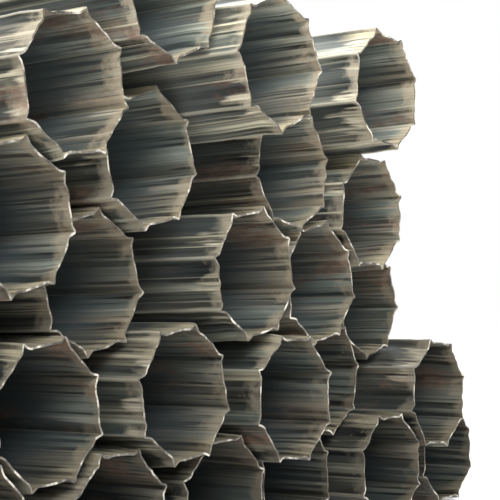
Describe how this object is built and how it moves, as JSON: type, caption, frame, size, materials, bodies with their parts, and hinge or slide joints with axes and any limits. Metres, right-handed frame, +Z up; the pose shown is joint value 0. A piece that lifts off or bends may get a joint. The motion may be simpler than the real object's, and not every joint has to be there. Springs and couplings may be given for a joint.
{
  "type": "bundle of octagonal steel pipes",
  "caption": "Loose stack of long thin-walled steel pipes of octagonal section with a sharp ridge at each corner, stored lying down.",
  "frame": {"origin": "on the floor, under the middle of the stack", "axes": "+Y along the pipes, away from the ends that the picture shows; +X to the right of one who faces those ends; +Z up"},
  "size_m": [1.4374, 6.145, 0.6391],
  "materials": {
    "steel": "weathered mill finish with lengthwise dark streaks and light rust"
  },
  "bodies": {
    "root": {"row1_pipe1": "steel", "row1_pipe2": "steel", "row1_pipe3": "steel", "row1_pipe4": "steel", "row1_pipe5": "steel", "row1_pipe6": "steel", "row1_pipe7": "steel", "row1_pipe8": "steel", "row2_pipe1": "steel", "row2_pipe2": "steel", "row2_pipe3": "steel", "row2_pipe4": "steel", "row2_pipe5": "steel", "row2_pipe6": "steel", "row2_pipe7": "steel", "row3_pipe1": "steel", "row3_pipe2": "steel", "row3_pipe3": "steel", "row3_pipe4": "steel", "row3_pipe5": "steel", "row3_pipe6": "steel", "row4_pipe1": "steel", "row4_pipe2": "steel", "row4_pipe3": "steel", "row4_pipe4": "steel", "row4_pipe5": "steel", "row5_pipe1": "steel", "row5_pipe2": "steel", "row5_pipe3": "steel", "row5_pipe4": "steel", "row6_pipe1": "steel"}
  },
  "joints": []
}
